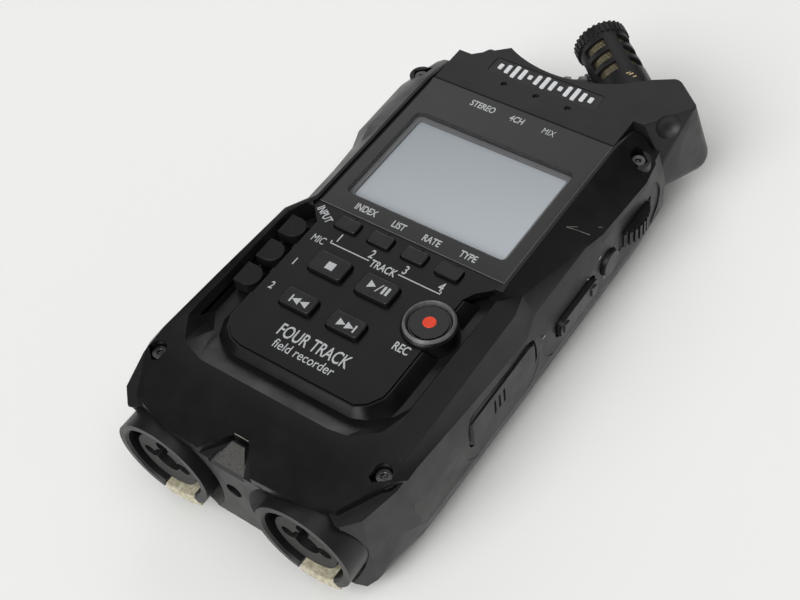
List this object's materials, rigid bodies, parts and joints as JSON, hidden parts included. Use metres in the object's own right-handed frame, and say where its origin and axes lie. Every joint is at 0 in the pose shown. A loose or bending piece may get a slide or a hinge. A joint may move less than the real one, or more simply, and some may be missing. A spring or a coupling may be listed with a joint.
{
  "type": "portable field recorder",
  "caption": "Handheld four-track field recorder with two crossed turning microphones, a display with transport keys and two combination input sockets at its lower end.",
  "frame": {"origin": "on the back, under the middle of the bounding box", "axes": "X is the width, +Y points from the input sockets to the microphones, +Z points out of the front panel"},
  "size_m": [0.073, 0.1572, 0.037],
  "materials": {
    "cover_plastic": "soft-touch black, fine grain",
    "case_plastic": "satin dark grey, fine grain",
    "inner_plastic": "plain moulded",
    "badge_print": "printed light bars on a dark plate",
    "window": "polished, dark border round a clear window",
    "lcd": "unlit display, satin",
    "gloss_panel": "semi-gloss black",
    "circuit_board": "green solder mask",
    "screw_steel": "blackened",
    "key_plastic": "satin black",
    "key_rubber": "matt black",
    "ring_plastic": "satin grey",
    "light_lens": "unlit lamp lens",
    "mic_body": "black anodised",
    "mic_gauze": "fine woven gauze",
    "mic_capsule": "satin",
    "plated_steel": "bright plated",
    "card_plastic": "plain dark",
    "tab_plastic": "cream",
    "contact_metal": "plated",
    "battery_wrap": "two-colour sleeve, plain",
    "bush_metal": "turned",
    "speaker_paper": "plain"
  },
  "bodies": {
    "case": {"front_cover": "cover_plastic", "middle_frame": "case_plastic", "rear_case": "case_plastic", "battery_tray": "inner_plastic", "mic_guard": "case_plastic", "badge": "badge_print", "display_window": "window", "lcd_module": "lcd", "key_panel": "gloss_panel", "main_board": "circuit_board", "front_screws": "screw_steel", "rear_screws": "screw_steel", "rec_ring": "ring_plastic", "status_lights": "light_lens", "track_lights": "light_lens", "card_socket": "plated_steel", "memory_card": "card_plastic", "phone_jack": "inner_plastic", "usb_port": "plated_steel", "remote_jack": "inner_plastic", "left_socket": "case_plastic", "right_socket": "case_plastic", "left_insert": "inner_plastic", "right_insert": "inner_plastic", "socket_contacts": "contact_metal", "strap_bar": "plated_steel", "batteries": "battery_wrap", "battery_contacts": "plated_steel", "tripod_bush": "bush_metal", "speaker": "speaker_paper", "mic_input_jack": "inner_plastic"},
    "track_key_1": {"track_button_1": "key_plastic"},
    "track_key_2": {"track_button_2": "key_plastic"},
    "track_key_3": {"track_button_3": "key_plastic"},
    "track_key_4": {"track_button_4": "key_plastic"},
    "mic_key": {"input_button_mic": "key_rubber"},
    "input_key_1": {"input_button_1": "key_rubber"},
    "input_key_2": {"input_button_2": "key_rubber"},
    "stop_key": {"stop_button": "key_plastic"},
    "play_key": {"play_button": "key_plastic"},
    "rewind_key": {"rewind_button": "key_plastic"},
    "forward_key": {"forward_button": "key_plastic"},
    "rec_key": {"rec_button": "gloss_panel"},
    "front_mic": {"front_mic_housing": "mic_body", "front_mic_mesh": "mic_gauze", "front_mic_capsule": "mic_capsule"},
    "rear_mic": {"rear_mic_housing": "mic_body", "rear_mic_mesh": "mic_gauze", "rear_mic_capsule": "mic_capsule"},
    "dial": {"jog_dial": "key_plastic"},
    "menu_key": {"menu_button": "key_plastic"},
    "level_key": {"level_rocker": "key_plastic"},
    "card_door": {"card_cover": "case_plastic"},
    "battery_door": {"battery_cover": "case_plastic"},
    "volume_key": {"volume_rocker": "key_plastic"},
    "power_slider": {"power_switch": "key_plastic"},
    "left_tab": {"left_release_tab": "tab_plastic"},
    "right_tab": {"right_release_tab": "tab_plastic"}
  },
  "joints": [
    {"name": "track_key_1_press", "type": "slide", "parent": "case", "child": "track_key_1", "axis": [0, 0, -1], "range_m": [0, 0.0006], "stiffness_N_per_m": 300, "springref_m": -0.0006},
    {"name": "track_key_2_press", "type": "slide", "parent": "case", "child": "track_key_2", "axis": [0, 0, -1], "range_m": [0, 0.0006], "stiffness_N_per_m": 300, "springref_m": -0.0006},
    {"name": "track_key_3_press", "type": "slide", "parent": "case", "child": "track_key_3", "axis": [0, 0, -1], "range_m": [0, 0.0006], "stiffness_N_per_m": 300, "springref_m": -0.0006},
    {"name": "track_key_4_press", "type": "slide", "parent": "case", "child": "track_key_4", "axis": [0, 0, -1], "range_m": [0, 0.0006], "stiffness_N_per_m": 300, "springref_m": -0.0006},
    {"name": "mic_key_press", "type": "slide", "parent": "case", "child": "mic_key", "axis": [0, 0, -1], "range_m": [0, 0.0006], "stiffness_N_per_m": 300, "springref_m": -0.0006},
    {"name": "input_key_1_press", "type": "slide", "parent": "case", "child": "input_key_1", "axis": [0, 0, -1], "range_m": [0, 0.0006], "stiffness_N_per_m": 300, "springref_m": -0.0006},
    {"name": "input_key_2_press", "type": "slide", "parent": "case", "child": "input_key_2", "axis": [0, 0, -1], "range_m": [0, 0.0006], "stiffness_N_per_m": 300, "springref_m": -0.0006},
    {"name": "stop_key_press", "type": "slide", "parent": "case", "child": "stop_key", "axis": [0, 0, -1], "range_m": [0, 0.0006], "stiffness_N_per_m": 300, "springref_m": -0.0006},
    {"name": "play_key_press", "type": "slide", "parent": "case", "child": "play_key", "axis": [0, 0, -1], "range_m": [0, 0.0006], "stiffness_N_per_m": 300, "springref_m": -0.0006},
    {"name": "rewind_key_press", "type": "slide", "parent": "case", "child": "rewind_key", "axis": [0, 0, -1], "range_m": [0, 0.0006], "stiffness_N_per_m": 300, "springref_m": -0.0006},
    {"name": "forward_key_press", "type": "slide", "parent": "case", "child": "forward_key", "axis": [0, 0, -1], "range_m": [0, 0.0006], "stiffness_N_per_m": 300, "springref_m": -0.0006},
    {"name": "rec_key_press", "type": "slide", "parent": "case", "child": "rec_key", "axis": [0, 0, -1], "range_m": [0, 0.0006], "stiffness_N_per_m": 300, "springref_m": -0.0006},
    {"name": "menu_key_press", "type": "slide", "parent": "case", "child": "menu_key", "axis": [-1, 0, 0], "range_m": [0, 0.0006], "stiffness_N_per_m": 300, "springref_m": -0.0006},
    {"name": "left_tab_press", "type": "slide", "parent": "case", "child": "left_tab", "axis": [0, 1, 0], "range_m": [0, 0.001], "stiffness_N_per_m": 500, "springref_m": -0.0006},
    {"name": "right_tab_press", "type": "slide", "parent": "case", "child": "right_tab", "axis": [0, 1, 0], "range_m": [0, 0.001], "stiffness_N_per_m": 500, "springref_m": -0.0006},
    {"name": "front_mic_turn", "type": "hinge", "parent": "case", "child": "front_mic", "pos_m": [0.01938, 0.05853, 0.02587], "axis": [-0.7934, 0.6088, 0], "range_deg": [-90, 90]},
    {"name": "rear_mic_turn", "type": "hinge", "parent": "case", "child": "rear_mic", "pos_m": [-0.01938, 0.05853, 0.01113], "axis": [0.7934, 0.6088, 0], "range_deg": [-90, 90]},
    {"name": "dial_turn", "type": "hinge", "parent": "case", "child": "dial", "pos_m": [0.0265, 0.0315, 0.0184], "axis": [0, 0, 1], "continuous": true},
    {"name": "level_rock", "type": "hinge", "parent": "case", "child": "level_key", "pos_m": [0.031, 0.0042, 0.017], "axis": [0, 0, 1], "range_deg": [-4, 4], "stiffness_Nm_per_rad": 0.03},
    {"name": "volume_rock", "type": "hinge", "parent": "case", "child": "volume_key", "pos_m": [-0.031, 0.024, 0.0174], "axis": [0, 0, 1], "range_deg": [-4, 4], "stiffness_Nm_per_rad": 0.03},
    {"name": "power_slide", "type": "slide", "parent": "case", "child": "power_slider", "axis": [0, 1, 0], "range_m": [-0.003, 0.003]},
    {"name": "card_door_open", "type": "hinge", "parent": "case", "child": "card_door", "pos_m": [0.0336, -0.0139, 0.0206], "axis": [0, 0, 1], "range_deg": [0, 90]},
    {"name": "battery_door_slide", "type": "slide", "parent": "case", "child": "battery_door", "axis": [0, -1, 0], "range_m": [0, 0.004]}
  ]
}
